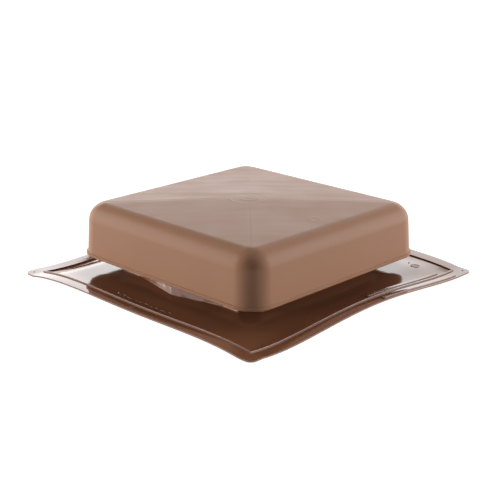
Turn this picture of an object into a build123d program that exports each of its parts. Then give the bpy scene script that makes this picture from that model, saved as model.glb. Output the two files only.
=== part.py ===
from build123d import *
import math
import os

# Static roof vent, square, moulded in plastic. Millimetres, +Z up.
# Origin: centre of the footprint, at the lowest point of the flange's underside.
# The front (-Y) is the uphill side, where the prow of the collar splits the water.

# Flange
flange_size = 426.0
flange_corner_radius = 9.0
flange_thickness = 2.0
nail_inset = 9.0
nail_hole_radius = 1.6

# Raised bead round the flange, and the two pairs of alignment bars
bead_inset = 19.0
bead_width = 2.4
bead_height = 1.6
bar_width = 5.0
bar_height = 1.4
bar_end_cut = 1.6
inner_bar_length = 150.0
inner_bar_inset = 27.0
inner_bar_end_inset = 43.0
outer_bar_length = 156.0
outer_bar_inset = 6.0
outer_bar_end_inset = 31.0

# Warp of the sheet along the bead, as a drop below the deck at five even stations of each side.
# Front and back run from -X to +X, left and right from -Y to +Y.
front_left_drop = 5.9
front_right_drop = 4.1
back_left_drop = 5.0
back_right_drop = 5.9
front_drop = (front_left_drop, 0.9, 3.0, 1.4, front_right_drop)
right_drop = (front_right_drop, 3.9, -1.4, 2.4, back_right_drop)
back_drop = (back_left_drop, 1.2, 2.4, 1.6, back_right_drop)
left_drop = (front_left_drop, 8.4, 3.6, 1.8, back_left_drop)
rim_curl = 3.0
curl_start = 0.9

# Collar, the flat deck round it, its corner shelves and its prow
collar_size = 248.0
collar_corner_cut = 19.0
collar_wall = 2.5
collar_height = 12.4
deck_margin = 26.0
shelf_corner_cut = 52.0
shelf_rise = 0.4
sheet_overlap = 1.2
prow_width = 154.0
prow_reach = 17.0
prow_root_height = 12.6
prow_tip_height = 9.0

# Throat screen
screen_ring_width = 12.0
screen_ring_thickness = 3.0
screen_inset = 2.0
screen_headroom = 3.0
slat_width = 2.4
slat_depth = 4.0
slat_gap = 5.6
spigot_wall = 1.6
spigot_depth = 4.0
fit_clearance = 0.3

# Hood
hood_length = 330.0
hood_width = 323.0
hood_wall = 2.5
hood_clear_height = 21.3
hood_rise = 70.25
hood_draft = 3.3
hood_corner_radius = 32.0
hood_edge_radius = 25.0
hip_rise = 6.0
hip_top = 6.0
hip_top_radius = 1.0
lip_height = 4.5
lip_flare = 2.0
lip_chamfer = 0.8

# Ribs and snap legs inside the hood
rib_thickness = 2.0
rib_depth = 9.0
hold_rib_inset = 4.0
hold_rib_overlap = 4.0
leg_span = 12.0
leg_foot_height = 3.0
prong_width = 6.4
barb_width = 9.0
barb_height = 5.0
barb_tip_width = 4.8
prong_slot_width = 2.0
prong_slot_depth = 9.0

# Sizes that follow from the ones above
flange_half = flange_size / 2
bead_half = flange_half - bead_inset
collar_half = collar_size / 2
deck_half = collar_half + deck_margin
collar_inner = collar_size - 2 * collar_wall
collar_inner_cut = collar_corner_cut - (2 - 2**0.5) * collar_wall
nail_place = flange_half - nail_inset
leg_place = (collar_inner - (shelf_corner_cut + collar_inner_cut) / 2) / 2
stations = (-1.0, -0.5, 0.0, 0.5, 1.0)


def along(drops, place):
    """Drop at a place from -1 to 1 along a side, on the curve through its five stations."""
    place = max(-1.0, min(1.0, place))
    total = 0.0
    for i, drop in enumerate(drops):
        weight = 1.0
        for j, station in enumerate(stations):
            if j != i:
                weight *= (place - station) / (stations[i] - station)
        total += weight * drop
    return total


def ramp(value, start, end):
    """Smooth step from 0 at start to 1 at end."""
    t = max(0.0, min(1.0, (value - start) / (end - start)))
    return t * t * (3 - 2 * t)


def sheet_drop(x, y):
    """How far the warped sheet lies below the flat deck that carries the collar."""
    u, v = x / bead_half, y / bead_half
    across = right_drop if x > 0 else left_drop
    along_y = back_drop if y > 0 else front_drop
    corner = across[-1 if y > 0 else 0]
    deck_edge = deck_half / bead_half
    outer_edge = flange_half / bead_half
    side_share = ramp(abs(u), deck_edge, 1.0)
    end_share = ramp(abs(v), deck_edge, 1.0)
    drop = side_share * along(across, v) + end_share * along(along_y, u) - side_share * end_share * corner
    side_curl = ramp(abs(u), curl_start, outer_edge) * max(0.0, 1 - v * v)
    end_curl = ramp(abs(v), curl_start, outer_edge) * max(0.0, 1 - u * u)
    return drop - rim_curl * (side_curl + end_curl)


def cut_square(size, cut):
    """Square face with its four corners cut off at 45 degrees."""
    with BuildSketch() as square:
        Rectangle(size, size)
        chamfer(square.vertices(), length=cut)
    return square.sketch


# The warped underside, on a grid that runs a little past the flange, with the deck's top at zero
grid_count = 45
grid_reach = flange_half + 6.0
grid = [grid_reach * (2 * i / (grid_count - 1) - 1) for i in range(grid_count)]
warped_face = Face.make_surface_from_array_of_points(
    [[Vector(x, y, -flange_thickness - sheet_drop(x, y)) for y in grid] for x in grid]
)
sheet_reach = 60.0


def warped_slab(height):
    """Slab that stands on the warped underside, as thick as height all over."""
    with BuildPart() as slab:
        extrude(warped_face, amount=height, dir=(0, 0, 1))
    return slab.part


sheet_slab = warped_slab(flange_thickness)
bead_slab = warped_slab(flange_thickness + bead_height)
bar_slab = warped_slab(flange_thickness + bar_height)

with BuildPart() as blank:
    with BuildSketch(Plane.XY.offset(-sheet_reach)):
        RectangleRounded(flange_size, flange_size, flange_corner_radius)
    extrude(amount=2 * sheet_reach)
    add(sheet_slab, mode=Mode.INTERSECT)

with BuildPart() as bead:
    with BuildSketch(Plane.XY.offset(-sheet_reach)):
        Rectangle(2 * bead_half + bead_width, 2 * bead_half + bead_width)
        Rectangle(2 * bead_half - bead_width, 2 * bead_half - bead_width, mode=Mode.SUBTRACT)
    extrude(amount=2 * sheet_reach)
    add(bead_slab, mode=Mode.INTERSECT)

with BuildPart() as bars:
    with BuildSketch(Plane.XY.offset(-sheet_reach)) as bars_plan:
        for side in (-1, 1):
            inner_bar_end = (side * (flange_half - inner_bar_inset), flange_half - inner_bar_end_inset)
            with Locations(inner_bar_end):
                Rectangle(bar_width, inner_bar_length, align=(Align.CENTER, Align.MAX))
            outer_bar_end = (side * (flange_half - outer_bar_inset), flange_half - outer_bar_end_inset)
            with Locations(outer_bar_end):
                Rectangle(bar_width, outer_bar_length, align=(Align.CENTER, Align.MAX))
        chamfer(bars_plan.vertices(), length=bar_end_cut)
    extrude(amount=2 * sheet_reach)
    add(bar_slab, mode=Mode.INTERSECT)

# Levels above the flange's lowest point
deck_level = -blank.part.bounding_box().min.Z
deck_lift = Location((0, 0, deck_level))
shelf_level = deck_level + shelf_rise
collar_top = deck_level + collar_height
lip_level = deck_level + hood_clear_height
eave_level = lip_level + hood_rise
hood_top = eave_level + hip_rise
screen_top = eave_level - hood_wall - screen_headroom
below_all = -10.0


def prow_wedge(inset):
    """Wedge in front of the collar, with its sloping top and its two sides moved inwards by inset."""
    foot = deck_level - sheet_overlap if inset == 0 else below_all
    with BuildPart() as wedge:
        with BuildSketch(Plane.YZ):
            with BuildLine():
                Polyline(
                    (-collar_half, foot),
                    (-collar_half, deck_level + prow_root_height - inset),
                    (-collar_half - prow_reach, deck_level + prow_tip_height - inset),
                    (-collar_half - prow_reach, foot),
                    close=True,
                )
            make_face()
        extrude(amount=prow_width / 2, both=True)
        with BuildSketch(Plane.XY.offset(below_all)) as plan:
            with BuildLine():
                Polyline(
                    (-prow_width / 2, -collar_half),
                    (0, -collar_half - prow_reach),
                    (prow_width / 2, -collar_half),
                    close=True,
                )
            make_face()
            if inset > 0:
                offset(amount=-inset, kind=Kind.INTERSECTION)
        extrude(amount=hood_top - below_all, mode=Mode.INTERSECT)
    return wedge.part


prow = prow_wedge(0)
prow_hollow = prow_wedge(collar_wall)

# Base: warped flange, bead, bars, collar and prow, in one moulding
with BuildPart() as base:
    add(blank.part.moved(deck_lift))
    add(bead.part.moved(deck_lift))
    add(bars.part.moved(deck_lift))
    # A flat shelf in each corner of the throat
    with BuildSketch(Plane.XY.offset(deck_level - sheet_overlap)):
        add(cut_square(collar_size - collar_wall, collar_corner_cut))
    extrude(amount=sheet_overlap + shelf_rise)
    # The throat's opening between the shelves, and a square hole for one prong in each shelf
    with BuildSketch(Plane.XY.offset(below_all)):
        add(cut_square(collar_inner, shelf_corner_cut))
        with GridLocations(2 * leg_place, 2 * leg_place, 2, 2):
            Rectangle(prong_width + 2 * fit_clearance, prong_width + 2 * fit_clearance)
    extrude(amount=hood_top - below_all, mode=Mode.SUBTRACT)
    # The collar's wall
    with BuildSketch(Plane.XY.offset(deck_level - sheet_overlap)):
        add(cut_square(collar_size, collar_corner_cut))
        add(cut_square(collar_inner, collar_inner_cut), mode=Mode.SUBTRACT)
    extrude(amount=sheet_overlap + collar_height)
    add(prow)
    add(prow_hollow, mode=Mode.SUBTRACT)
    # Nail holes at the corners
    with BuildSketch(Plane.XY.offset(below_all)):
        with GridLocations(2 * nail_place, 2 * nail_place, 2, 2):
            Circle(nail_hole_radius)
    extrude(amount=hood_top - below_all, mode=Mode.SUBTRACT)

# Throat screen: a slatted cage that drops into the collar and stands up to the hood
slat_pitch = slat_width + slat_gap
ring_opening = collar_size - 2 * screen_ring_width
cage_size = collar_size - 2 * screen_inset
slat_place = (cage_size - slat_depth) / 2
post_size = (cage_size - ring_opening) / 2
post_place = (ring_opening + post_size) / 2
slat_count = int((ring_opening - slat_gap) / slat_pitch) + 1

with BuildPart() as throat_screen:
    with BuildSketch(Plane.XY.offset(collar_top)):
        Rectangle(collar_size, collar_size)
        Rectangle(ring_opening, ring_opening, mode=Mode.SUBTRACT)
    extrude(amount=screen_ring_thickness)
    with BuildSketch(Plane.XY.offset(screen_top)):
        Rectangle(cage_size, cage_size)
        Rectangle(ring_opening, ring_opening, mode=Mode.SUBTRACT)
    extrude(amount=-screen_ring_thickness)
    with BuildSketch(Plane.XY.offset(collar_top)):
        with GridLocations(slat_pitch, 2 * slat_place, slat_count, 2):
            Rectangle(slat_width, slat_depth)
        with GridLocations(2 * slat_place, slat_pitch, 2, slat_count):
            Rectangle(slat_depth, slat_width)
        with GridLocations(2 * post_place, 2 * post_place, 2, 2):
            Rectangle(post_size, post_size)
    extrude(amount=screen_top - collar_top)
    # The spigot that locates the cage inside the collar
    with BuildSketch(Plane.XY.offset(collar_top - spigot_depth)):
        add(cut_square(collar_inner - 2 * fit_clearance, collar_inner_cut))
        add(
            cut_square(collar_inner - 2 * (fit_clearance + spigot_wall), collar_inner_cut),
            mode=Mode.SUBTRACT,
        )
    extrude(amount=spigot_depth)

# Hood
foot_length = hood_length - 2 * lip_flare
foot_width = hood_width - 2 * lip_flare
draft_angle = math.degrees(math.atan(hood_draft / hood_rise))


def hood_form(inset):
    """Solid of the hood's outside, with every face moved inwards by inset."""
    with BuildPart() as form:
        with BuildSketch(Plane.XY.offset(lip_level)):
            Rectangle(foot_length - 2 * inset, foot_width - 2 * inset)
        extrude(amount=hood_rise - inset, taper=draft_angle)
        levels = form.faces().filter_by(Axis.Z).sort_by(Axis.Z)
        fillet(form.edges() - levels[0].edges() - levels[-1].edges(), radius=hood_corner_radius - inset)
        fillet(form.faces().sort_by(Axis.Z)[-1].edges(), radius=hood_edge_radius - inset)
        add(form.faces().sort_by(Axis.Z)[-1])
        with BuildSketch(Plane.XY.offset(hood_top - inset)):
            RectangleRounded(hip_top, hip_top, hip_top_radius)
        loft()
    return form.part


outer_form = hood_form(0)
middle_form = hood_form(hood_wall / 2)
inner_form = hood_form(hood_wall)

# One leg: a cross-shaped stem, a foot that stands on the shelf, and a split barbed prong
barb_level = deck_level - flange_thickness - fit_clearance
with BuildPart() as leg:
    with BuildSketch(Plane.XZ):
        with BuildLine():
            Polyline(
                (0, shelf_level),
                (prong_width / 2, shelf_level),
                (prong_width / 2, barb_level),
                (barb_width / 2, barb_level),
                (barb_tip_width / 2, barb_level - barb_height),
                (0, barb_level - barb_height),
                close=True,
            )
        make_face()
        mirror(about=Plane.YZ)
    extrude(amount=prong_width / 2, both=True)
    with BuildSketch(Plane.XY.offset(shelf_level)):
        Rectangle(leg_span, leg_span)
    extrude(amount=leg_foot_height)
    with BuildSketch(Plane.XY.offset(barb_level - barb_height)):
        Rectangle(prong_slot_width, prong_width)
    extrude(amount=prong_slot_depth, mode=Mode.SUBTRACT)
    with BuildSketch(Plane.XY.offset(shelf_level + leg_foot_height)):
        Rectangle(leg_span, rib_thickness)
        Rectangle(rib_thickness, leg_span)
    extrude(amount=hood_top - shelf_level - leg_foot_height)

# The room that the hood's inside parts fill: up to the middle of the wall, and open below the lip
with BuildPart() as hood_room:
    add(middle_form)
    with BuildSketch(Plane.XY.offset(below_all)):
        Rectangle(collar_size, collar_size)
    extrude(amount=lip_level - below_all)

# Everything that stands down from the hood's underside
inner_rib_span = cage_size - 2 * hold_rib_inset
outer_rib_span = cage_size + 2 * (fit_clearance + rib_thickness)
with BuildPart() as hood_inside:
    with BuildSketch(Plane.XY.offset(screen_top + fit_clearance)):
        Rectangle(inner_rib_span, inner_rib_span)
        Rectangle(inner_rib_span - 2 * rib_thickness, inner_rib_span - 2 * rib_thickness, mode=Mode.SUBTRACT)
    extrude(amount=hood_top - screen_top - fit_clearance)
    with BuildSketch(Plane.XY.offset(screen_top - hold_rib_overlap)):
        Rectangle(outer_rib_span, outer_rib_span)
        Rectangle(outer_rib_span - 2 * rib_thickness, outer_rib_span - 2 * rib_thickness, mode=Mode.SUBTRACT)
    extrude(amount=hood_top - screen_top + hold_rib_overlap)
    with BuildSketch(Plane.XY.offset(eave_level - hood_wall - rib_depth)):
        for turn in (45, 135):
            Rectangle(2 * 2**0.5 * leg_place, rib_thickness, rotation=turn)
    extrude(amount=hood_top - eave_level + hood_wall + rib_depth)
    with GridLocations(2 * leg_place, 2 * leg_place, 2, 2):
        add(leg.part)
    add(hood_room.part, mode=Mode.INTERSECT)

with BuildPart() as hood:
    with BuildSketch(Plane.XY.offset(lip_level)):
        RectangleRounded(hood_length, hood_width, hood_corner_radius + lip_flare)
    extrude(amount=lip_height)
    chamfer(hood.edges().filter_by(Plane.XY), length=lip_chamfer)
    add(outer_form)
    add(inner_form, mode=Mode.SUBTRACT)
    add(hood_inside.part)

base.part.label = "base"
throat_screen.part.label = "throat_screen"
hood.part.label = "hood"

os.makedirs("parts", exist_ok=True)
export_step(base.part, "parts/base.step")
export_step(throat_screen.part, "parts/throat_screen.step")
export_step(hood.part, "parts/hood.step")
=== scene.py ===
import logging
import math
from dataclasses import dataclass
from enum import Enum, IntEnum
from typing import Callable, Sequence

import bmesh
import bpy
from bmesh.types import BMEdge, BMesh, BMFace, BMVert
from mathutils import Matrix, Vector


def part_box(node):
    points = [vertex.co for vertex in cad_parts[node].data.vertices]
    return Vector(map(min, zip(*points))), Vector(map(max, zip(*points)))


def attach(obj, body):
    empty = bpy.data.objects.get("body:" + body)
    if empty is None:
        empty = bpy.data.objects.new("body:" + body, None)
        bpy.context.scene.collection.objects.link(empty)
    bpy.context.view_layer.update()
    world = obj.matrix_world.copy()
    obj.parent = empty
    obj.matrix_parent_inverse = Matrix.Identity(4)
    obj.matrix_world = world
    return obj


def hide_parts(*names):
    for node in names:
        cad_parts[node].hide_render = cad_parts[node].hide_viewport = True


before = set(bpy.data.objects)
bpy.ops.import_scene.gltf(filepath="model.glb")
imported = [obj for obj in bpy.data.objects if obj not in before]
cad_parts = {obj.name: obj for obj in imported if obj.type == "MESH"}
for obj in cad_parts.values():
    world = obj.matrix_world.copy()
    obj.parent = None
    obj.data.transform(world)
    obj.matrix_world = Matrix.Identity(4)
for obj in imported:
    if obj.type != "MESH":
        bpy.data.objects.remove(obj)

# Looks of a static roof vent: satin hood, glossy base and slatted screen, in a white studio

logging.basicConfig(level=logging.INFO, format="%(name)s: %(message)s")
log = logging.getLogger("roof_vent")

MM = 0.001
WHITE = (1.0, 1.0, 1.0, 1.0)
ROOT = "root"
PLAN_AXES = (Vector((1.0, 0.0, 0.0)), Vector((0.0, 1.0, 0.0)))
CUT_SHIFT = 0.37
CUT_TOLERANCE = 1e-6

Socket = bpy.types.NodeSocket
Colour = tuple[float, float, float]


class RayKind(Enum):
    """Rays that meet the white background instead of the plain room light."""

    CAMERA = "Is Camera Ray"
    GLOSSY = "Is Glossy Ray"
    TRANSMISSION = "Is Transmission Ray"


class Side(Enum):
    """The four sides of the vent, as directions in its plan."""

    FRONT = (0, -1)
    RIGHT = (1, 0)
    BACK = (0, 1)
    LEFT = (-1, 0)


class Level(IntEnum):
    """What a face of the base belongs to, and so how high over the warped sheet it lies."""

    FIXED = 0
    UNDERSIDE = 1
    SHEET = 2
    BAR = 3
    BEAD = 4


class Rounded(Enum):
    """What a round is made on: the edges of a solid, or the corners of a flat plan."""

    EDGES = "EDGES"
    CORNERS = "VERTICES"


@dataclass(frozen=True)
class NodeTree:
    """Short way to add and join the nodes of a material or a world."""

    tree: bpy.types.NodeTree

    def add(self, kind: str, **values: object) -> bpy.types.Node:
        """Add one node.

        Args:
            kind: The node's type name, without its ShaderNode prefix.
            values: Attributes of the node, or, where it has none of that name, input sockets.

        Returns:
            The new node.
        """
        node = self.tree.nodes.new("ShaderNode" + kind)
        for name, value in values.items():
            if hasattr(node, name):
                setattr(node, name, value)
            else:
                node.inputs[name.replace("_", " ").title()].default_value = value
        return node

    def join(self, source: Socket, target: Socket) -> None:
        """Link an output socket to an input socket."""
        self.tree.links.new(source, target)

    def math(self, operation: str, *inputs: Socket | float) -> Socket:
        """Add a Math node.

        Args:
            operation: The node's operation.
            inputs: A socket or a number for each input.

        Returns:
            The node's output.
        """
        node = self.add("Math", operation=operation)
        for socket, value in zip(node.inputs, inputs):
            if isinstance(value, Socket):
                self.join(value, socket)
            else:
                socket.default_value = value
        return node.outputs[0]

    def square(self, value: Socket) -> Socket:
        """Multiply a value by itself."""
        return self.math("MULTIPLY", value, value)

    def distance(self, x: Socket, y: Socket) -> Socket:
        """Distance in plan from the place where x and y are zero."""
        return self.math("SQRT", self.math("ADD", self.square(x), self.square(y)))

    def total(self, values: Sequence[Socket]) -> Socket:
        """Add values up.

        Args:
            values: At least one value.

        Returns:
            Their sum.
        """
        result = values[0]
        for value in values[1:]:
            result = self.math("ADD", result, value)
        return result

    def noise(self, place: Socket, waves: float, detail: float) -> Socket:
        """Add a noise texture.

        Args:
            place: The coordinates that it reads.
            waves: Waves in a unit of the coordinates.
            detail: Octaves of finer noise.

        Returns:
            The noise value, from 0 to 1.
        """
        node = self.add("TexNoise", scale=waves, detail=detail)
        self.join(place, node.inputs["Vector"])
        return node.outputs["Fac"]

    def spread(self, value: Socket, low: float, high: float) -> Socket:
        """Map a 0 to 1 value to another range.

        Args:
            value: The value.
            low: What 0 becomes.
            high: What 1 becomes.

        Returns:
            The new value.
        """
        node = self.add("MapRange")
        self.join(value, node.inputs["Value"])
        node.inputs["To Min"].default_value = low
        node.inputs["To Max"].default_value = high
        return node.outputs["Result"]

    def blend(self, share: Socket, first: Colour, second: Colour) -> Socket:
        """Mix two colours.

        Args:
            share: Share of the second colour, from 0 to 1.
            first: The first colour.
            second: The second colour.

        Returns:
            The mixed colour.
        """
        node = self.add("Mix", data_type="RGBA")
        factor, colour_a, colour_b = (socket for socket in node.inputs if socket.enabled)
        colour_a.default_value = (*first, 1.0)
        colour_b.default_value = (*second, 1.0)
        self.join(share, factor)
        return next(socket for socket in node.outputs if socket.enabled)

    def bumped(self, height: Socket, distance: float, under: Socket | None = None) -> Socket:
        """Add a bump on top of another bump.

        Args:
            height: The height map, from 0 to 1.
            distance: The height of a full step, in metres.
            under: The normal of the bump below, if there is one.

        Returns:
            The bumped normal.
        """
        node = self.add("Bump")
        node.inputs["Distance"].default_value = distance
        self.join(height, node.inputs["Height"])
        if under is not None:
            self.join(under, node.inputs["Normal"])
        return node.outputs["Normal"]


Relief = Callable[[NodeTree, Socket, Socket], tuple[Socket, Socket]]


@dataclass(frozen=True)
class Streaks:
    """Faint streaks that plastic leaves where it flows in the mould.

    The waves are counted in a metre along X, Y and Z, once the plan is turned by an angle in
    degrees. The height is in metres, and dulling is what a full streak adds to the roughness.
    """

    waves: tuple[float, float, float]
    turn: float
    detail: float
    height: float
    dulling: float

    def pattern(self, nodes: NodeTree, place: Socket) -> Socket:
        """Add the streaks' noise to a material.

        Args:
            nodes: The material's node tree.
            place: Object coordinates.

        Returns:
            The streaks, from 0 to 1.
        """
        turned = nodes.add("Mapping")
        turned.inputs["Rotation"].default_value = (0.0, 0.0, math.radians(self.turn))
        nodes.join(place, turned.inputs["Vector"])
        scaled = nodes.add("Mapping")
        scaled.inputs["Scale"].default_value = self.waves
        nodes.join(turned.outputs["Vector"], scaled.inputs["Vector"])
        return nodes.noise(scaled.outputs["Vector"], waves=1.0, detail=self.detail)


@dataclass(frozen=True)
class Plastic:
    """A moulded plastic: pigment, gloss and the uneven surface that moulding leaves.

    Colours are linear. Sizes and heights of the grain and the ripple are in metres. The clouds
    are the uneven pigment and the bloom is the uneven gloss, both in waves in a metre.
    """

    name: str
    pigment: Colour
    pale_pigment: Colour
    roughness: tuple[float, float]
    grain_size: float
    grain_height: float
    ripple_size: float
    ripple_height: float
    index: float = 1.5
    cloud_waves: float = 9.0
    bloom_waves: float = 26.0

    def material(self, relief: Relief | None = None) -> bpy.types.Material:
        """Make the material.

        Args:
            relief: Adds marks of its own, given the node tree, the coordinates and the normal
                so far, and returns the new normal and what it adds to the roughness.

        Returns:
            The new material.
        """
        made = bpy.data.materials.new(self.name)
        made.use_nodes = True
        nodes = NodeTree(made.node_tree)
        shader = made.node_tree.nodes["Principled BSDF"]
        shader.inputs["IOR"].default_value = self.index
        place = nodes.add("TexCoord").outputs["Object"]
        clouds = nodes.noise(place, self.cloud_waves, detail=4.0)
        nodes.join(nodes.blend(clouds, self.pigment, self.pale_pigment), shader.inputs["Base Color"])
        grain = nodes.noise(place, 1.0 / self.grain_size, detail=2.0)
        ripple = nodes.noise(place, 1.0 / self.ripple_size, detail=1.0)
        normal = nodes.bumped(grain, self.grain_height)
        normal = nodes.bumped(ripple, self.ripple_height, normal)
        bloom = nodes.noise(place, self.bloom_waves, detail=5.0)
        gloss = nodes.spread(bloom, *self.roughness)
        if relief is not None:
            normal, dull = relief(nodes, place, normal)
            gloss = nodes.math("ADD", gloss, dull)
        nodes.join(gloss, shader.inputs["Roughness"])
        nodes.join(normal, shader.inputs["Normal"])
        return made


HOOD_PLASTIC = Plastic(
    "hood_satin_brown",
    pigment=(0.300, 0.148, 0.084),
    pale_pigment=(0.330, 0.168, 0.098),
    roughness=(0.34, 0.46),
    grain_size=0.0011,
    grain_height=0.000025,
    ripple_size=0.055,
    ripple_height=0.00012,
    index=1.37,
)
BASE_PLASTIC = Plastic(
    "base_gloss_brown",
    pigment=(0.218, 0.086, 0.042),
    pale_pigment=(0.238, 0.096, 0.049),
    roughness=(0.04, 0.09),
    grain_size=0.0016,
    grain_height=0.000004,
    ripple_size=0.034,
    ripple_height=0.00006,
    index=1.85,
)
SCREEN_PLASTIC = Plastic(
    "screen_satin_brown",
    pigment=(0.150, 0.064, 0.036),
    pale_pigment=(0.170, 0.075, 0.043),
    roughness=(0.38, 0.50),
    grain_size=0.0010,
    grain_height=0.00002,
    ripple_size=0.03,
    ripple_height=0.00005,
)


def is_corner(edge: BMEdge, degrees: float) -> bool:
    """Tell whether an edge of a closed mesh points outwards and turns by at least an angle."""
    return edge.is_manifold and edge.is_convex and edge.calc_face_angle(0.0) >= math.radians(degrees)


def round_off(
    bm: BMesh,
    parts: Sequence[BMEdge | BMVert],
    size: float,
    segments: int,
    rounded: Rounded = Rounded.EDGES,
) -> None:
    """Round some edges or corners of a mesh.

    Args:
        bm: The mesh.
        parts: The edges, or the vertices at the corners.
        size: Width of the round, in metres.
        segments: Faces across the round.
        rounded: Whether the parts are edges or corners.
    """
    bmesh.ops.bevel(
        bm, geom=parts, offset=size, offset_type="OFFSET", segments=segments, profile=0.5,
        affect=rounded.value, material=-1, clamp_overlap=True,
    )


def round_moulding(bm: BMesh, edges: Sequence[BMEdge], size: float) -> None:
    """Round the outer edges of a moulding, as they leave the mould.

    Args:
        bm: The mesh.
        edges: The edges.
        size: Width of the round, in metres.
    """
    round_off(bm, edges, size, segments=3)
    wide = [face for face in bm.faces if len(face.verts) > 4]
    bmesh.ops.triangulate(bm, faces=wide)


def cut_in_cells(bm: BMesh, reach: float, cell: float) -> None:
    """Cut a mesh in plan into square cells, so that it can bend with the sheet.

    All cuts are shifted by a share of a cell, so that none falls on a straight edge of the vent.

    Args:
        bm: The mesh.
        reach: How far the mesh reaches from the middle of the plan.
        cell: Width of a cell.
    """
    count = int(reach / cell)
    for axis in PLAN_AXES:
        for i in range(-count, count + 1):
            place = axis * (i + CUT_SHIFT) * cell
            geometry = [*bm.verts, *bm.edges, *bm.faces]
            bmesh.ops.bisect_plane(
                bm, geom=geometry, dist=CUT_TOLERANCE, plane_co=place, plane_no=axis
            )


def make_piece(
    name: str, bm: BMesh, material: bpy.types.Material, crease_degrees: float
) -> bpy.types.Object:
    """Turn a worked mesh into a piece that rides on the vent's body.

    Args:
        name: The piece's name.
        bm: The mesh, which is freed.
        material: Its material.
        crease_degrees: Creases over this angle stay sharp.

    Returns:
        The new piece.
    """
    mesh = bpy.data.meshes.new(name)
    bm.to_mesh(mesh)
    bm.free()
    mesh.materials.clear()
    mesh.materials.append(material)
    for face in mesh.polygons:
        face.material_index = 0
    mesh.shade_smooth()
    mesh.set_sharp_from_angle(angle=math.radians(crease_degrees))
    made = bpy.data.objects.new(name, mesh)
    bpy.context.scene.collection.objects.link(made)
    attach(made, ROOT)
    log.info("%s: %d faces", name, len(mesh.polygons))
    return made


@dataclass
class Skin:
    """A smooth copy of a CAD node, which stands for it."""

    node: str
    material: bpy.types.Material
    crease_degrees: float = 28.0
    merge_distance: float = 2e-6

    def merged_copy(self) -> BMesh:
        """Copy the node's mesh and join its loose triangles.

        Returns:
            The new mesh.
        """
        bm = bmesh.new()
        bm.from_mesh(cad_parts[self.node].data)
        bmesh.ops.remove_doubles(bm, verts=bm.verts, dist=self.merge_distance)
        bm.normal_update()
        return bm

    def place(self, bm: BMesh) -> None:
        """Turn the worked mesh into the piece that stands for the node.

        Args:
            bm: The worked mesh, which is freed.
        """
        made = make_piece(self.node + "_skin", bm, self.material, self.crease_degrees)
        weighted = made.modifiers.new("weighted", "WEIGHTED_NORMAL")
        weighted.keep_sharp = True
        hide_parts(self.node)


@dataclass(frozen=True)
class Warp:
    """Shape of the warped flange: how far it lies below the flat deck. Millimetres.

    Each side has its drop at five even stations, front and back from left to right, left and
    right from front to back.
    """

    bead_half: float = 194.0
    deck_half: float = 150.0
    flange_half: float = 213.0
    curl: float = 3.0
    curl_start: float = 0.9
    front: tuple[float, ...] = (5.9, 0.9, 3.0, 1.4, 4.1)
    right: tuple[float, ...] = (4.1, 3.9, -1.4, 2.4, 5.9)
    back: tuple[float, ...] = (5.0, 1.2, 2.4, 1.6, 5.9)
    left: tuple[float, ...] = (5.9, 8.4, 3.6, 1.8, 5.0)

    @staticmethod
    def along(drops: Sequence[float], place: float) -> float:
        """Drop on the smooth curve through a side's stations.

        Args:
            drops: The side's drops.
            place: Place along the side, from -1 to 1.

        Returns:
            The drop at that place.
        """
        place = max(-1.0, min(1.0, place))
        step = 2.0 / (len(drops) - 1)
        stations = [-1.0 + step * i for i in range(len(drops))]
        total = 0.0
        for here, drop in zip(stations, drops):
            weight = 1.0
            for other in stations:
                if other != here:
                    weight *= (place - other) / (here - other)
            total += weight * drop
        return total

    @staticmethod
    def ramp(value: float, start: float, end: float) -> float:
        """Smooth step from 0 at start to 1 at end."""
        t = max(0.0, min(1.0, (value - start) / (end - start)))
        return t * t * (3.0 - 2.0 * t)

    def drop(self, x: float, y: float) -> float:
        """Drop of the sheet at a place of the plan.

        Args:
            x: Place from left to right, in metres.
            y: Place from front to back, in metres.

        Returns:
            The drop in metres.
        """
        u, v = x / MM / self.bead_half, y / MM / self.bead_half
        across = self.right if x > 0 else self.left
        along_y = self.back if y > 0 else self.front
        corner = across[-1 if y > 0 else 0]
        deck_edge = self.deck_half / self.bead_half
        outer_edge = self.flange_half / self.bead_half
        side = self.ramp(abs(u), deck_edge, 1.0)
        end = self.ramp(abs(v), deck_edge, 1.0)
        drop = side * self.along(across, v) + end * self.along(along_y, u) - side * end * corner
        side_curl = self.ramp(abs(u), self.curl_start, outer_edge) * max(0.0, 1.0 - v * v)
        end_curl = self.ramp(abs(v), self.curl_start, outer_edge) * max(0.0, 1.0 - u * u)
        return (drop - self.curl * (side_curl + end_curl)) * MM


@dataclass
class Sheet:
    """The base's thin sheet: a flat deck with the warped flange round it. Metres."""

    warp: Warp
    thickness: float = 2.0 * MM
    prow_height: float = 12.6 * MM

    def __post_init__(self) -> None:
        """Read the flange's reach and the deck's level from the frame."""
        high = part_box("base")[1]
        self.reach = high.x
        self.deck = high.z - self.prow_height

    def top(self, x: float, y: float) -> float:
        """Height of the sheet's upper face at a place of the plan."""
        return self.deck - self.warp.drop(x, y)

    def settle(self, bm: BMesh) -> None:
        """Lay a mesh on the sheet, which was modelled as if the sheet were flat at height zero."""
        for vert in bm.verts:
            vert.co.z += self.top(vert.co.x, vert.co.y)


@dataclass(frozen=True)
class Bar:
    """Place of a raised bar: how far out its middle line lies, and its two ends. Metres."""

    out: float
    front: float
    back: float


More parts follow.
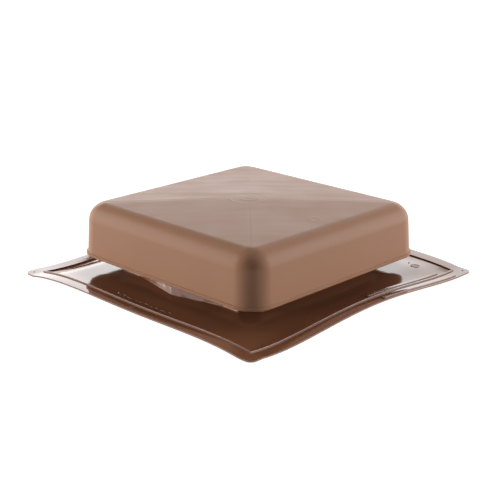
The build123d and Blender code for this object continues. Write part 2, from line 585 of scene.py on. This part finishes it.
@dataclass
class Ribs:
    """The square bead and the two pairs of bars, as smooth ribs laid on the sheet. Metres.

    Each starts below the sheet and laps a little over the sides of the moulding's own rib, which
    is sunk under it.
    """

    sheet: Sheet
    bead_height: float = 1.6 * MM
    bead_width: float = 2.4 * MM
    bar_height: float = 1.4 * MM
    bar_width: float = 5.0 * MM
    bar_end_round: float = 2.2 * MM
    inner_bar: Bar = Bar(186.0 * MM, 20.0 * MM, 170.0 * MM)
    outer_bar: Bar = Bar(207.0 * MM, 26.0 * MM, 182.0 * MM)
    foot_depth: float = 0.5 * MM
    lap: float = 0.06 * MM
    rim_degrees: float = 60.0
    rim_round: float = 0.55 * MM
    cell: float = 3.5 * MM

    def __post_init__(self) -> None:
        """Read where the bead runs from the sheet's warp, which is measured at the bead."""
        self.bead_place = self.sheet.warp.bead_half * MM

    def add_to(self, bm: BMesh) -> None:
        """Add the bead and the bars to the base moulding.

        Args:
            bm: The moulding's mesh.
        """
        self.lay(self.bead(), bm)
        for side in (Side.LEFT, Side.RIGHT):
            for bar in (self.inner_bar, self.outer_bar):
                self.lay(self.bar(side.value[0] * bar.out, bar.front, bar.back), bm)

    def bead(self) -> BMesh:
        """Model the square bead round the flange.

        Returns:
            The bead, on a flat sheet at height zero.
        """
        rib = bmesh.new()
        width = self.bead_width + 2.0 * self.lap
        foot = Matrix.Translation((0.0, 0.0, -self.foot_depth))
        half = self.bead_place + width / 2.0
        bmesh.ops.create_grid(rib, x_segments=1, y_segments=1, size=half, matrix=foot)
        bmesh.ops.inset_region(
            rib, faces=rib.faces[:], thickness=width, use_boundary=True, use_even_offset=True
        )
        middle = min(rib.faces, key=lambda face: face.calc_center_median().length)
        bmesh.ops.delete(rib, geom=[middle], context="FACES")
        self.raise_plan(rib, self.bead_height)
        return rib

    def bar(self, place: float, front: float, back: float) -> BMesh:
        """Model a bar with rounded ends.

        Args:
            place: Where its middle line lies from left to right.
            front: Where it starts.
            back: Where it ends.

        Returns:
            The bar, on a flat sheet at height zero.
        """
        rib = bmesh.new()
        size = Matrix.Diagonal((self.bar_width + 2.0 * self.lap, back - front, 1.0, 1.0))
        spot = Matrix.Translation((place, (front + back) / 2.0, -self.foot_depth))
        bmesh.ops.create_grid(rib, x_segments=1, y_segments=1, size=0.5, matrix=spot @ size)
        round_off(rib, rib.verts[:], self.bar_end_round, segments=4, rounded=Rounded.CORNERS)
        self.raise_plan(rib, self.bar_height)
        return rib

    def raise_plan(self, rib: BMesh, height: float) -> None:
        """Turn a rib's flat plan at its foot into a solid.

        Args:
            rib: The plan.
            height: Height of the rib's top over the sheet.
        """
        made = bmesh.ops.extrude_face_region(rib, geom=rib.faces[:])["geom"]
        raised = [item for item in made if isinstance(item, BMVert)]
        bmesh.ops.translate(rib, verts=raised, vec=(0.0, 0.0, height + self.foot_depth))
        bmesh.ops.recalc_face_normals(rib, faces=rib.faces)

    def lay(self, rib: BMesh, bm: BMesh) -> None:
        """Round a rib's top edges, lay it on the sheet and add it to the moulding.

        Args:
            rib: The rib on a flat sheet at height zero, which is freed.
            bm: The moulding's mesh.
        """
        rim = [
            edge for edge in rib.edges
            if is_corner(edge, self.rim_degrees) and all(vert.co.z > 0.0 for vert in edge.verts)
        ]
        round_off(rib, rim, self.rim_round, segments=4)
        cut_in_cells(rib, self.sheet.reach, self.cell)
        self.sheet.settle(rib)
        mesh = bpy.data.meshes.new("rib")
        rib.to_mesh(mesh)
        rib.free()
        bm.from_mesh(mesh)
        bpy.data.meshes.remove(mesh)


@dataclass
class FlangeMarks:
    """Small raised marks on the flange, with no meaning of their own. Metres."""

    sheet: Sheet
    material: bpy.types.Material
    height: float = 0.35 * MM
    crease_degrees: float = 40.0
    dash_row: tuple[float, float] = (-2.0 * MM, -183.0 * MM)
    dash_lengths: tuple[float, ...] = tuple(
        length * MM for length in (7.0, 4.0, 9.0, 5.0, 5.0, 8.0, 4.0, 6.0, 10.0, 5.0)
    )
    dash_gap: float = 4.2 * MM
    dash_width: float = 1.3 * MM
    dash_stagger: float = 1.04 * MM
    dash_round: float = 0.105 * MM
    dial_place: tuple[float, float] = (155.0 * MM, 163.0 * MM)
    dial_radius: float = 6.5 * MM
    inner_radius: float = 2.925 * MM
    tick_count: int = 12
    tick_place: float = 4.68 * MM
    tick_length: float = 1.82 * MM
    tick_width: float = 0.5 * MM
    pip_place: tuple[float, float] = (-13.0 * MM, 3.9 * MM)
    pip_radius: float = 1.1 * MM
    nail_mark_place: float = 204.0 * MM
    nail_mark_radius: float = 2.2 * MM

    def build(self) -> None:
        """Build all the marks."""
        self.build_dashes()
        self.build_dial()
        self.build_nail_marks()

    def place(self, name: str, bm: BMesh) -> None:
        """Lay a mesh, which is freed, on the sheet and make it a piece."""
        self.sheet.settle(bm)
        make_piece(name, bm, self.material, self.crease_degrees)

    def build_dashes(self) -> None:
        """Build the row of plain dashes near the front edge."""
        start = -(sum(self.dash_lengths) + self.dash_gap * (len(self.dash_lengths) - 1)) / 2.0
        bm = bmesh.new()
        for i, length in enumerate(self.dash_lengths):
            x = self.dash_row[0] + start + length / 2.0
            y = self.dash_row[1] + (i % 2) * self.dash_stagger
            start += length + self.dash_gap
            size = Matrix.Diagonal((length, self.dash_width, 2.0 * self.height, 1.0))
            bmesh.ops.create_cube(bm, size=1.0, matrix=Matrix.Translation((x, y, 0.0)) @ size)
        round_off(bm, bm.edges[:], self.dash_round, segments=2)
        self.place("flange_dashes", bm)

    def build_dial(self) -> None:
        """Build the plain rings with ticks between them and a pip beside them."""
        bm = bmesh.new()
        spot = Matrix.Translation((*self.dial_place, 0.0))
        for radius in (self.dial_radius, self.inner_radius):
            self.add_ring(bm, spot, radius)
        for i in range(self.tick_count):
            turn = Matrix.Rotation(math.tau * i / self.tick_count, 4, "Z")
            out = Matrix.Translation((self.tick_place, 0.0, 0.0))
            size = Matrix.Diagonal((self.tick_length, self.tick_width, self.height, 1.0))
            bmesh.ops.create_cube(bm, size=1.0, matrix=spot @ turn @ out @ size)
        pip = spot @ Matrix.Translation((*self.pip_place, 0.0))
        bmesh.ops.create_uvsphere(bm, u_segments=16, v_segments=8, radius=self.pip_radius, matrix=pip)
        self.place("flange_dial", bm)

    def build_nail_marks(self) -> None:
        """Build the raised rims of the blind nail marks, one at the middle of each side."""
        bm = bmesh.new()
        for side in Side:
            spot = Matrix.Translation(Vector((*side.value, 0.0)) * self.nail_mark_place)
            self.add_ring(bm, spot, self.nail_mark_radius)
        self.place("nail_marks", bm)

    def add_ring(self, bm: BMesh, spot: Matrix, radius: float) -> None:
        """Add a ring of round wire, half sunk in the sheet.

        Args:
            bm: The mesh.
            spot: The ring's centre.
            radius: The ring's radius.
        """
        upright = Matrix.Rotation(math.pi / 2.0, 4, "X")
        matrix = spot @ Matrix.Translation((radius, 0.0, 0.0)) @ upright
        wire = bmesh.ops.create_circle(bm, segments=8, radius=self.height, matrix=matrix)["verts"]
        edges = [edge for edge in bm.edges if all(vert in wire for vert in edge.verts)]
        bmesh.ops.spin(
            bm, geom=wire + edges, cent=spot.translation, axis=(0.0, 0.0, 1.0),
            angle=math.tau, steps=40, use_merge=True, use_duplicate=False,
        )
        bmesh.ops.recalc_face_normals(bm, faces=bm.faces)


@dataclass
class Base:
    """The base: deck and warped flange, bead and bars, collar, prow and small marks. Metres.

    A face of the moulding lies on a level within a tolerance, and is a wall where the upright
    share of its normal is under wall_slope. Edges flatter than flat_degrees are dissolved.
    """

    plastic: Plastic
    sheet: Sheet
    cell: float = 7.0 * MM
    flange_tolerance: float = 0.5 * MM
    deck_tolerance: float = 0.1 * MM
    wall_slope: float = 0.7
    flat_degrees: float = 12.0
    rim_degrees: float = 55.0
    rim_round: float = 0.45 * MM
    crease_degrees: float = 38.0
    own_rib_depth: float = 0.3 * MM
    streaks: Streaks = Streaks(
        waves=(160.0, 14.0, 14.0), turn=30.0, detail=4.0, height=0.00003, dulling=0.25
    )
    streak_contrast: float = 4.0

    def __post_init__(self) -> None:
        """Set out the ribs on the sheet."""
        self.ribs = Ribs(self.sheet)

    def build(self) -> None:
        """Build the piece that stands for the base moulding, and the small marks on it."""
        material = self.plastic.material(self.flow_marks)
        skin = Skin("base", material, self.crease_degrees)
        bm = skin.merged_copy()
        self.refine(bm)
        self.ribs.add_to(bm)
        skin.place(bm)
        FlangeMarks(self.sheet, material).build()

    def flow_marks(self, nodes: NodeTree, place: Socket, normal: Socket) -> tuple[Socket, Socket]:
        """Add the streaks of the plastic that flowed out from the throat.

        Args:
            nodes: The material's node tree.
            place: Object coordinates.
            normal: The normal so far.

        Returns:
            The new normal, and what is added to the roughness.
        """
        streaks = self.streaks.pattern(nodes, place)
        crests = nodes.math("POWER", streaks, self.streak_contrast)
        normal = nodes.bumped(streaks, self.streaks.height, normal)
        return normal, nodes.math("MULTIPLY", crests, self.streaks.dulling)

    def refine(self, bm: BMesh) -> None:
        """Cut the flange into small cells, lay them on the exact sheet and round the sheet's rim.

        Each face keeps its level as its material index until it becomes a piece.

        Args:
            bm: The moulding's merged mesh.
        """
        for face in bm.faces:
            face.material_index = self.level_of(face)
        flat = math.radians(self.flat_degrees)
        bmesh.ops.dissolve_limit(
            bm, angle_limit=flat, verts=bm.verts, edges=bm.edges, delimit={"MATERIAL"}
        )
        cut_in_cells(bm, self.sheet.reach, self.cell)
        for vert in bm.verts:
            levels = {Level(face.material_index) for face in vert.link_faces}
            level = Level.UNDERSIDE if Level.UNDERSIDE in levels else max(levels)
            if level is not Level.FIXED:
                vert.co.z = self.sheet.top(vert.co.x, vert.co.y) + self.laid_rise(level)
        bm.normal_update()
        round_moulding(bm, [edge for edge in bm.edges if self.is_rim(edge)], self.rim_round)

    def level_of(self, face: BMFace) -> Level:
        """Tell which level a face of the moulding belongs to.

        Args:
            face: A face of the merged mesh.

        Returns:
            Its level, or FIXED for a wall and for what rises from the flat deck.
        """
        if abs(face.normal.z) < self.wall_slope:
            return Level.FIXED
        middle = face.calc_center_median()
        height = middle.z - self.sheet.top(middle.x, middle.y)
        out = max(abs(middle.x), abs(middle.y))
        if face.normal.z < 0.0:
            levels = (Level.UNDERSIDE,)
        elif abs(out - self.ribs.bead_place) < self.ribs.bead_width:
            levels = (Level.SHEET, Level.BEAD)
        else:
            levels = (Level.SHEET, Level.BAR)
        nearest = min(levels, key=lambda level: abs(self.rise(level) - height))
        on_deck = out < self.sheet.warp.deck_half * MM
        tolerance = self.deck_tolerance if on_deck else self.flange_tolerance
        if abs(self.rise(nearest) - height) > tolerance or on_deck and nearest is Level.BAR:
            return Level.FIXED
        return nearest

    def rise(self, level: Level) -> float:
        """Height of a level of the moulding.

        Args:
            level: Any level but FIXED.

        Returns:
            Its height over the sheet's upper face.
        """
        return {
            Level.UNDERSIDE: -self.sheet.thickness,
            Level.SHEET: 0.0,
            Level.BAR: self.ribs.bar_height,
            Level.BEAD: self.ribs.bead_height,
        }[level]

    def laid_rise(self, level: Level) -> float:
        """Height at which a level is laid. The moulding's own ribs go under the smooth ones."""
        return -self.own_rib_depth if level in (Level.BAR, Level.BEAD) else self.rise(level)

    def is_rim(self, edge: BMEdge) -> bool:
        """Tell whether an edge is an outer corner of the sheet, at its rim or at a nail hole."""
        on_sheet = any(face.material_index in (Level.SHEET, Level.UNDERSIDE) for face in edge.link_faces)
        return on_sheet and is_corner(edge, self.rim_degrees)


@dataclass
class Hood:
    """The hood: a satin moulding with the marks of its gate and ribs on the roof. Metres."""

    plastic: Plastic
    gate_ring_radii: tuple[float, ...] = (4.0 * MM, 11.0 * MM, 25.0 * MM)
    side_ring_place: float = 115.0 * MM
    side_ring_radius: float = 7.0 * MM
    ring_width: float = 1.6 * MM
    rib_mark_width: float = 2.5 * MM
    mark_height: float = 0.18 * MM
    roof_band: float = 9.0 * MM
    lip_below_top: float = 76.25 * MM
    lip_band: float = 8.0 * MM
    lip_reach: float = 150.0 * MM
    lip_degrees: float = 50.0
    lip_round: float = 0.5 * MM
    streaks: Streaks = Streaks(
        waves=(7.0, 70.0, 7.0), turn=-45.0, detail=5.0, height=0.00006, dulling=0.22
    )

    def __post_init__(self) -> None:
        """Read the levels of the roof and of the lip from the frame."""
        self.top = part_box("hood")[1].z
        self.lip = self.top - self.lip_below_top

    def build(self) -> None:
        """Build the piece that stands for the hood moulding, with its lip's edges rounded."""
        skin = Skin("hood", self.plastic.material(self.roof_marks))
        bm = skin.merged_copy()
        round_moulding(bm, [edge for edge in bm.edges if self.is_lip(edge)], self.lip_round)
        skin.place(bm)

    def is_lip(self, edge: BMEdge) -> bool:
        """Tell whether an edge is an outer corner of the band at the hood's lip."""
        return is_corner(edge, self.lip_degrees) and all(self.on_lip(vert.co) for vert in edge.verts)

    def on_lip(self, place: Vector) -> bool:
        """Tell whether a place lies on the band at the hood's lip."""
        out = max(abs(place.x), abs(place.y))
        return abs(place.z - self.lip) < self.lip_band and out > self.lip_reach

    def ring(self, nodes: NodeTree, distance: Socket, radius: float, width: float) -> Socket:
        """Height of a soft ring round a centre, or of a soft line at radius zero.

        Args:
            nodes: The material's node tree.
            distance: Distance from the centre.
            radius: Radius of the ring.
            width: Half width at which it fades.

        Returns:
            The height, from 0 to 1.
        """
        away = nodes.math("DIVIDE", nodes.math("SUBTRACT", distance, radius), width)
        return nodes.math("EXPONENT", nodes.math("MULTIPLY", nodes.square(away), -1.0))

    def roof_marks(self, nodes: NodeTree, place: Socket, normal: Socket) -> tuple[Socket, Socket]:
        """Add the roof's marks: rings round the gate, sink marks over the ribs, and streaks.

        Args:
            nodes: The material's node tree.
            place: Object coordinates.
            normal: The normal so far.

        Returns:
            The new normal, and what is added to the roughness.
        """
        split = nodes.add("SeparateXYZ")
        nodes.join(place, split.inputs[0])
        x, y, z = split.outputs
        on_roof = nodes.math("GREATER_THAN", z, self.top - self.roof_band)
        from_gate = nodes.distance(x, y)
        from_side = nodes.distance(nodes.math("SUBTRACT", x, self.side_ring_place), y)
        from_rib = nodes.math("SUBTRACT", nodes.math("ABSOLUTE", x), nodes.math("ABSOLUTE", y))
        rings = [self.ring(nodes, from_gate, radius, self.ring_width) for radius in self.gate_ring_radii]
        rings.append(self.ring(nodes, from_side, self.side_ring_radius, self.ring_width))
        sinks = self.ring(nodes, from_rib, 0.0, self.rib_mark_width)
        marks = nodes.math("SUBTRACT", nodes.total(rings), sinks)
        normal = nodes.bumped(nodes.math("MULTIPLY", marks, on_roof), self.mark_height, normal)
        streaks = self.streaks.pattern(nodes, place)
        normal = nodes.bumped(nodes.math("MULTIPLY", streaks, on_roof), self.streaks.height, normal)
        dull = nodes.math("MULTIPLY", nodes.math("SUBTRACT", streaks, 0.5), self.streaks.dulling)
        return normal, nodes.math("MULTIPLY", dull, on_roof)


@dataclass
class ThroatScreen:
    """The slatted cage under the hood."""

    plastic: Plastic

    def build(self) -> None:
        """Build the piece that stands for the screen moulding."""
        skin = Skin("throat_screen", self.plastic.material())
        skin.place(skin.merged_copy())


def make_plane(name: str, width: float, height: float, shade: float) -> bpy.types.Object:
    """Make a matte grey rectangle of the stage, which isn't part of the vent.

    Args:
        name: Its name.
        width: Its width.
        height: Its height.
        shade: Its linear grey.

    Returns:
        The new object.
    """
    bm = bmesh.new()
    size = Matrix.Diagonal((width, height, 1.0, 1.0))
    bmesh.ops.create_grid(bm, x_segments=1, y_segments=1, size=0.5, matrix=size)
    mesh = bpy.data.meshes.new(name)
    bm.to_mesh(mesh)
    bm.free()
    material = bpy.data.materials.new(name)
    material.use_nodes = True
    shader = material.node_tree.nodes["Principled BSDF"]
    shader.inputs["Base Color"].default_value = (shade, shade, shade, 1.0)
    shader.inputs["Roughness"].default_value = 1.0
    mesh.materials.append(material)
    made = bpy.data.objects.new(name, mesh)
    bpy.context.scene.collection.objects.link(made)
    return made


@dataclass(frozen=True)
class Card:
    """A flat rectangle of the studio that faces the vent, and that the camera doesn't see.

    Azimuth 0 is in front of the vent and 90 on its right. Lengths are in metres.
    """

    name: str
    azimuth: float
    elevation: float
    distance: float
    width: float
    height: float

    def direction(self) -> Vector:
        """Unit vector from the vent to the card."""
        a, e = math.radians(self.azimuth), math.radians(self.elevation)
        return Vector((math.sin(a) * math.cos(e), -math.cos(a) * math.cos(e), math.sin(e)))

    def stand(self, made: bpy.types.Object) -> None:
        """Put the card's object in its place, facing the vent and unseen by the camera.

        Args:
            made: The object.
        """
        made.location = self.direction() * self.distance
        made.rotation_euler = (-self.direction()).to_track_quat("-Z", "Y").to_euler()
        made.visible_camera = False


@dataclass(frozen=True)
class Softbox(Card):
    """A soft light, whose radiance is what a white mirror would show of it.

    One that isn't in the gloss lights the plastics, and none of them mirrors it.
    """

    radiance: float
    in_gloss: bool = True

    def build(self) -> None:
        """Make the light."""
        lamp = bpy.data.lights.new(self.name, "AREA")
        lamp.shape = "RECTANGLE"
        lamp.size, lamp.size_y = self.width, self.height
        lamp.energy = self.radiance * math.pi * self.width * self.height
        made = bpy.data.objects.new(self.name, lamp)
        bpy.context.scene.collection.objects.link(made)
        made.visible_glossy = self.in_gloss
        self.stand(made)


@dataclass(frozen=True)
class Flag(Card):
    """A dark card that keeps the white room out of a part of the gloss."""

    shade: float = 0.03

    def build(self) -> None:
        """Make the card."""
        self.stand(make_plane(self.name, self.width, self.height, self.shade))


@dataclass
class Studio:
    """White background, floor, softboxes and the camera at the photograph's place. Metres.

    Each card gives its name, azimuth, elevation, distance, width and height, and a softbox its
    radiance too.
    """

    room_light: float = 0.04
    floor_size: float = 30.0
    floor_shade: float = 0.40
    floor_glow: float = 0.95
    lens: float = 81.918
    sensor: float = 36.0
    camera_azimuth: float = 44.47
    camera_elevation: float = 18.6196
    camera_place: tuple[float, float] = (1.01240, -1.02878)
    camera_above_hood: float = 0.41318
    cards: tuple[Card, ...] = (
        Softbox("left_softbox", -56.0, 20.0, 3.0, 2.2, 2.2, 1.8),
        Softbox("right_softbox", 143.0, 20.0, 3.0, 2.2, 2.2, 2.4),
        Softbox("left_fill", -56.0, 20.0, 3.1, 2.2, 2.2, 1.4, in_gloss=False),
        Softbox("right_fill", 143.0, 20.0, 3.1, 2.2, 2.2, 0.8, in_gloss=False),
        Softbox("left_low_softbox", -48.0, 4.5, 3.0, 1.6, 0.5, 29.0, in_gloss=False),
        Softbox("right_low_softbox", 137.0, 4.5, 3.0, 1.6, 0.5, 23.0, in_gloss=False),
        Softbox("front_low_softbox", 44.47, 4.0, 3.0, 2.4, 0.4, 2.5, in_gloss=False),
        Softbox("overhead_softbox", 224.47, 68.0, 2.4, 1.6, 1.2, 2.5, in_gloss=False),
        Softbox("back_left_card", 239.0, 14.5, 4.0, 2.4, 1.7, 1.75),
        Softbox("back_right_card", 205.0, 15.5, 4.0, 2.4, 1.9, 1.10),
        Flag("front_flag", 44.47, 25.0, 3.2, 3.0, 3.2),
        Flag("back_flag", 256.0, 44.0, 3.2, 3.4, 1.9),
    )

    def background_share(self, nodes: NodeTree) -> Socket:
        """Find the rays that meet the white background.

        Args:
            nodes: The node tree of the floor or the world.

        Returns:
            1 for such a ray and 0 for the rest.
        """
        path = nodes.add("LightPath")
        share = path.outputs[RayKind.CAMERA.value]
        for kind in (RayKind.GLOSSY, RayKind.TRANSMISSION):
            share = nodes.math("MAXIMUM", share, path.outputs[kind.value])
        return share

    def build_world(self) -> None:
        """Make a world that shows white, and lights the vent at a plain level."""
        world = bpy.data.worlds.new("studio_world")
        world.use_nodes = True
        bpy.context.scene.world = world
        nodes = NodeTree(world.node_tree)
        background = world.node_tree.nodes["Background"]
        background.inputs["Color"].default_value = WHITE
        strength = nodes.spread(self.background_share(nodes), self.room_light, 1.0)
        nodes.join(strength, background.inputs["Strength"])

    def build_floor(self) -> None:
        """Make the white floor at height zero, under the vent, which keeps the vent's shadow."""
        floor = make_plane("floor", self.floor_size, self.floor_size, self.floor_shade)
        nodes = NodeTree(floor.data.materials[0].node_tree)
        shader = nodes.tree.nodes["Principled BSDF"]
        shader.inputs["Specular IOR Level"].default_value = 0.0
        shader.inputs["Emission Color"].default_value = WHITE
        glow = nodes.math("MULTIPLY", self.background_share(nodes), self.floor_glow)
        nodes.join(glow, shader.inputs["Emission Strength"])

    def build_camera(self) -> None:
        """Make the camera at the photograph's viewing angle."""
        lens = bpy.data.cameras.new("camera")
        lens.lens, lens.sensor_width = self.lens, self.sensor
        camera = bpy.data.objects.new("camera", lens)
        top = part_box("hood")[1].z
        camera.location = (*self.camera_place, top + self.camera_above_hood)
        pitch = math.radians(90.0 - self.camera_elevation)
        camera.rotation_euler = (pitch, 0.0, math.radians(self.camera_azimuth))
        bpy.context.scene.collection.objects.link(camera)
        bpy.context.scene.camera = camera

    def build(self) -> None:
        """Build the whole studio."""
        bpy.context.scene.view_settings.view_transform = "Standard"
        self.build_world()
        self.build_floor()
        for card in self.cards:
            card.build()
        self.build_camera()


def main() -> None:
    """Build the vent's pieces and the studio round them."""
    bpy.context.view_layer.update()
    Base(BASE_PLASTIC, Sheet(Warp())).build()
    ThroatScreen(SCREEN_PLASTIC).build()
    Hood(HOOD_PLASTIC).build()
    Studio().build()


if __name__ == "__main__":
    main()
